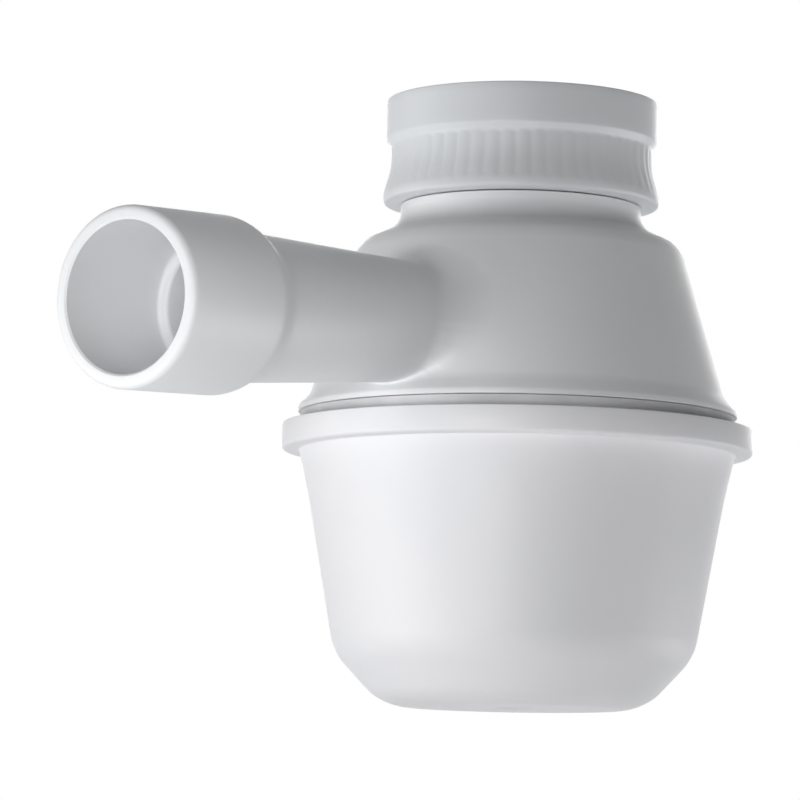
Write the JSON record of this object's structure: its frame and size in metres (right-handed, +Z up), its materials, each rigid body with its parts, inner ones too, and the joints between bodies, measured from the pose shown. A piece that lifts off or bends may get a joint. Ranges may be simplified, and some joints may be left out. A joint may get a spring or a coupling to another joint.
{
  "type": "bottle trap",
  "caption": "White plastic basin bottle trap: ribbed union nut on top, cone body with a sideways pipe socket, dip tube inside and a screw-off cup below.",
  "frame": {"origin": "centre of the flat under the cup", "axes": "+Z up along the nut, neck and cup; -X along the outlet, which falls 3 degrees towards its socket; +Y completes the frame"},
  "size_m": [0.1938, 0.108, 0.1398],
  "materials": {
    "body_plastic": "satin white moulded plastic",
    "cup_plastic": "satin white moulded plastic",
    "nut_plastic": "satin white moulded plastic, ribbed",
    "tube_plastic": "plain white moulded plastic",
    "washer_rubber": "matt black",
    "seal_rubber": "matt off-white"
  },
  "bodies": {
    "trap_body": {"trap_body": "body_plastic", "dip_tube": "tube_plastic", "inlet_washer": "washer_rubber"},
    "union_nut": {"union_nut": "nut_plastic"},
    "cup_seal": {"cup_seal": "seal_rubber"},
    "cup": {"cup": "cup_plastic"}
  },
  "joints": [
    {"name": "nut_spin", "type": "hinge", "parent": "trap_body", "child": "union_nut", "pos_m": [0, 0, 0.1158], "axis": [0, 0, 1], "continuous": true},
    {"name": "cup_travel", "type": "slide", "parent": "trap_body", "child": "cup_seal", "axis": [0, 0, -1], "range_m": [0, 0.008]},
    {"name": "cup_turn", "type": "hinge", "parent": "cup_seal", "child": "cup", "pos_m": [0, 0, 0.0643], "axis": [0, 0, -1], "range_deg": [0, 640]}
  ],
  "couplings": [
    {"joint": "cup_turn", "follows": "cup_travel", "rad_per_m": 1396.3}
  ]
}
